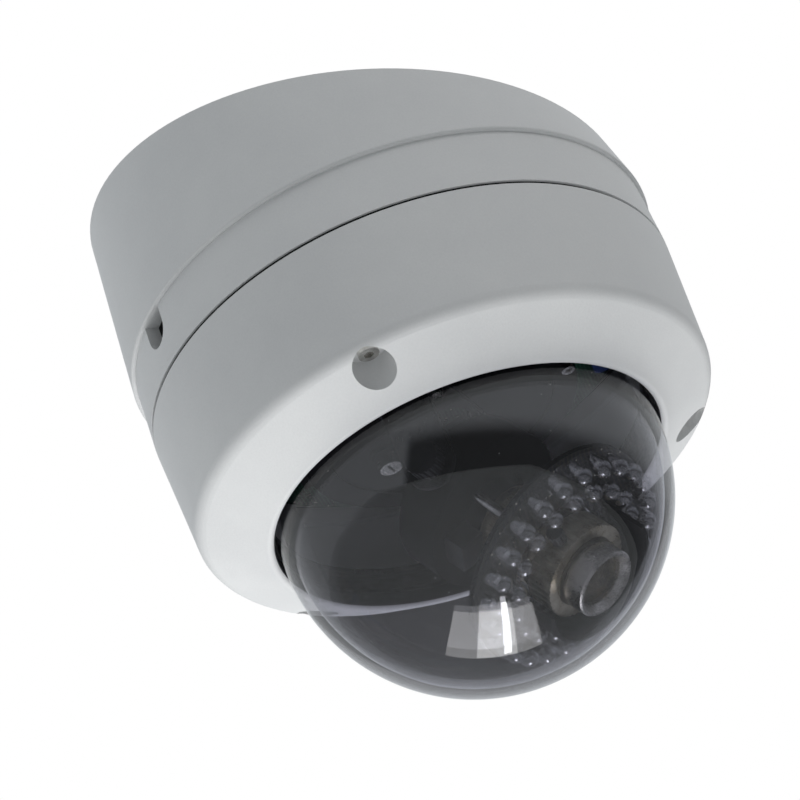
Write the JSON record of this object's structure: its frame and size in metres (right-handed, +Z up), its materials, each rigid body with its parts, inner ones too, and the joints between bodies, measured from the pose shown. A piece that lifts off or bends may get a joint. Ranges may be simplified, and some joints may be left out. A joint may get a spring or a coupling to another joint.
{
  "type": "dome camera",
  "caption": "Ceiling dome camera on an inclined base, with a smoked bubble over a pan, tilt and roll gimbal carrying a varifocal lens and an infrared light ring.",
  "frame": {"origin": "centre of the cable hole in the ceiling face", "axes": "+Z up into the ceiling, -Y to the front, where the base is thinnest; the camera hangs below"},
  "size_m": [0.1512, 0.1666, 0.1462],
  "materials": {
    "housing_paint": "fine textured powder coat on cast aluminium",
    "smoked_clear": "lightly smoked, polished",
    "black_rubber": "matte",
    "stainless": "machined",
    "zinc_steel": "satin",
    "green_board": "solder mask",
    "black_board": "black solder mask",
    "brown_sleeve": "shrink sleeve",
    "blue_ferrite": "coated",
    "black_chip": "moulded epoxy",
    "white_connector": "moulded",
    "black_connector": "moulded",
    "green_terminal": "moulded",
    "socket_metal": "plated shell",
    "sink_aluminium": "anodised",
    "black_moulding": "fine texture",
    "plate_aluminium": "bright",
    "barrel_metal": "black anodised",
    "brass_ring": "knurled",
    "cell_metal": "satin",
    "lens_glass": "coated",
    "filter_glass": "coated",
    "clear_epoxy": "clear domed",
    "button_plastic": "moulded"
  },
  "bodies": {
    "housing": {"inclined_base": "housing_paint", "camera_base": "housing_paint", "base_screws": "stainless", "cable_grommet": "black_rubber", "base_seal": "black_rubber", "dome_cover": "housing_paint", "cover_screws": "stainless", "dome_bubble": "smoked_clear", "dome_gasket": "black_rubber", "clamp_ring": "zinc_steel", "clamp_screws": "stainless", "main_board": "green_board", "board_standoffs": "stainless", "board_screws": "stainless", "capacitors": "brown_sleeve", "inductors": "blue_ferrite", "processor": "black_chip", "heat_sink": "sink_aluminium", "memory_chips": "black_chip", "board_connectors": "white_connector", "ethernet_jack": "socket_metal", "power_terminal": "green_terminal", "card_slot": "socket_metal", "reset_switch": "black_connector", "pan_base": "zinc_steel", "retaining_ring": "black_moulding", "ring_screws": "stainless"},
    "reset_button_body": {"reset_button": "button_plastic"},
    "pan_stage": {"turntable": "black_moulding", "tilt_yoke": "zinc_steel", "yoke_screws": "stainless"},
    "pan_lock": {"pan_lock_knob": "stainless"},
    "tilt_stage": {"lens_cradle": "black_moulding", "tilt_pivot_screw": "stainless"},
    "tilt_lock": {"tilt_lock_knob": "black_connector"},
    "camera_module": {"roll_sleeve": "black_moulding", "roll_retainer": "black_moulding", "lens_mount": "black_moulding", "sensor_board": "green_board", "image_sensor": "black_chip", "filter_housing": "black_moulding", "lens_barrel": "barrel_metal", "rear_lens": "lens_glass", "iris_drive": "black_connector", "led_posts": "stainless", "led_plate": "plate_aluminium", "led_plate_screws": "stainless", "led_board": "black_board", "outer_leds": "clear_epoxy", "inner_leds": "clear_epoxy", "light_sensor": "clear_epoxy", "light_shield": "black_rubber"},
    "filter_slider": {"infrared_filter": "filter_glass"},
    "zoom_control": {"zoom_ring": "barrel_metal"},
    "zoom_lock": {"zoom_lock_knob": "black_connector"},
    "zoom_group": {"zoom_lens": "lens_glass"},
    "focus_control": {"focus_ring": "brass_ring"},
    "focus_lock": {"focus_lock_knob": "black_connector"},
    "focus_group": {"focus_cell": "cell_metal", "front_lens": "lens_glass"}
  },
  "joints": [
    {"name": "pan_turn", "type": "hinge", "parent": "housing", "child": "pan_stage", "pos_m": [0, -0.02428, -0.09257], "axis": [0, 0.2538, 0.9673], "range_deg": [-170, 170]},
    {"name": "tilt_turn", "type": "hinge", "parent": "pan_stage", "child": "tilt_stage", "pos_m": [0, -0.02428, -0.09257], "axis": [-0.9781, 0.2011, -0.0528], "range_deg": [-29, 45]},
    {"name": "roll_turn", "type": "hinge", "parent": "tilt_stage", "child": "camera_module", "pos_m": [0, -0.02428, -0.09257], "axis": [0.1024, 0.6868, 0.7196], "range_deg": [-170, 170]},
    {"name": "zoom_turn", "type": "hinge", "parent": "camera_module", "child": "zoom_control", "pos_m": [-0.00205, -0.03802, -0.10696], "axis": [0.1024, 0.6868, 0.7196], "range_deg": [-35, 35]},
    {"name": "zoom_slide", "type": "slide", "parent": "camera_module", "child": "zoom_group", "axis": [-0.1024, -0.6868, -0.7196], "range_m": [-0.0025, 0.0025]},
    {"name": "focus_turn", "type": "hinge", "parent": "camera_module", "child": "focus_control", "pos_m": [-0.00379, -0.04969, -0.11919], "axis": [0.1024, 0.6868, 0.7196], "range_deg": [-56, 19]},
    {"name": "focus_slide", "type": "slide", "parent": "camera_module", "child": "focus_group", "axis": [-0.1024, -0.6868, -0.7196], "range_m": [-0.0012, 0.00041]},
    {"name": "filter_slide", "type": "slide", "parent": "camera_module", "child": "filter_slider", "axis": [0.9781, -0.2011, 0.0528], "range_m": [0, 0.0084]},
    {"name": "pan_lock_turn", "type": "hinge", "parent": "pan_stage", "child": "pan_lock", "pos_m": [0.00374, -0.00116, -0.07382], "axis": [0, -0.2538, -0.9673], "range_deg": [0, 180]},
    {"name": "tilt_lock_turn", "type": "hinge", "parent": "tilt_stage", "child": "tilt_lock", "pos_m": [-0.02641, -0.01885, -0.09399], "axis": [-0.9781, 0.2011, -0.0528], "range_deg": [0, 180]},
    {"name": "zoom_lock_turn", "type": "hinge", "parent": "zoom_control", "child": "zoom_lock", "pos_m": [-0.01109, -0.04508, -0.09894], "axis": [-0.6458, -0.5044, 0.5732], "range_deg": [0, 180]},
    {"name": "focus_lock_turn", "type": "hinge", "parent": "focus_control", "child": "focus_lock", "pos_m": [-0.01775, -0.04889, -0.11853], "axis": [-0.9947, 0.0768, 0.0683], "range_deg": [0, 180]},
    {"name": "reset_press", "type": "slide", "parent": "housing", "child": "reset_button_body", "axis": [0, 0.2538, 0.9673], "range_m": [0, 0.0003], "stiffness_N_per_m": 3000, "springref_m": -0.0003}
  ],
  "couplings": [
    {"joint": "zoom_slide", "follows": "zoom_turn", "m_per_rad": 0.00409},
    {"joint": "focus_slide", "follows": "focus_turn", "m_per_rad": 0.001222}
  ]
}
